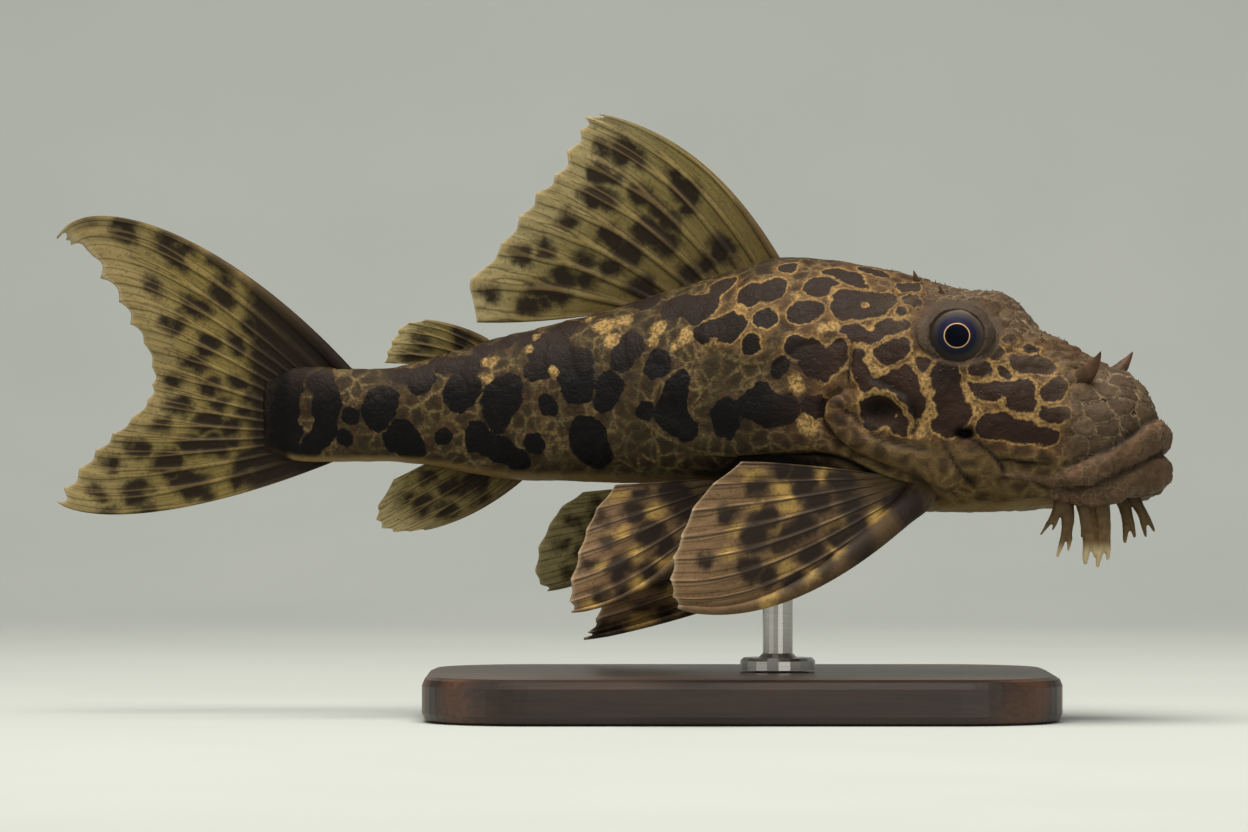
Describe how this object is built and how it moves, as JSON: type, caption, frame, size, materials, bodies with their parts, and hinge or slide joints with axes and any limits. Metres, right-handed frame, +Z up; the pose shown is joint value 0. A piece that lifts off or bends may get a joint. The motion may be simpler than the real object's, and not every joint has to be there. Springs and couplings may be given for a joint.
{
  "type": "bristlenose pleco model on a stand",
  "caption": "Life-size still model of an armoured sucker-mouthed catfish with spread fins and branched chin feelers, on a short rod and a plain wooden base.",
  "frame": {"origin": "centre of the underside of the display base", "axes": "+X towards the fish's head, +Z up, so the fish's right side faces -Y"},
  "size_m": [0.1485, 0.0642, 0.0804],
  "materials": {
    "armoured_skin": "painted skin with dark blotches",
    "fin_membrane": "painted membrane with dark spots",
    "wet_eye": "polished",
    "soft_feeler": "painted, soft sheen",
    "stained_wood": "dark stain, satin",
    "satin_steel": "satin"
  },
  "bodies": {
    "root": {"head": "armoured_skin", "trunk": "armoured_skin", "tail_stalk": "armoured_skin", "eye_right": "wet_eye", "eye_left": "wet_eye", "dorsal_fin": "fin_membrane", "adipose_fin": "fin_membrane", "anal_fin": "fin_membrane", "caudal_fin": "fin_membrane", "pectoral_fin_right": "fin_membrane", "pectoral_fin_left": "fin_membrane", "pelvic_fin_right": "fin_membrane", "pelvic_fin_left": "fin_membrane", "snout_horn_right": "soft_feeler", "snout_horn_left": "soft_feeler", "chin_feelers_right": "soft_feeler", "chin_feelers_right_rear": "soft_feeler", "chin_feelers_left": "soft_feeler", "chin_feelers_left_rear": "soft_feeler", "stand_base": "stained_wood", "stand_rod": "satin_steel"}
  },
  "joints": []
}
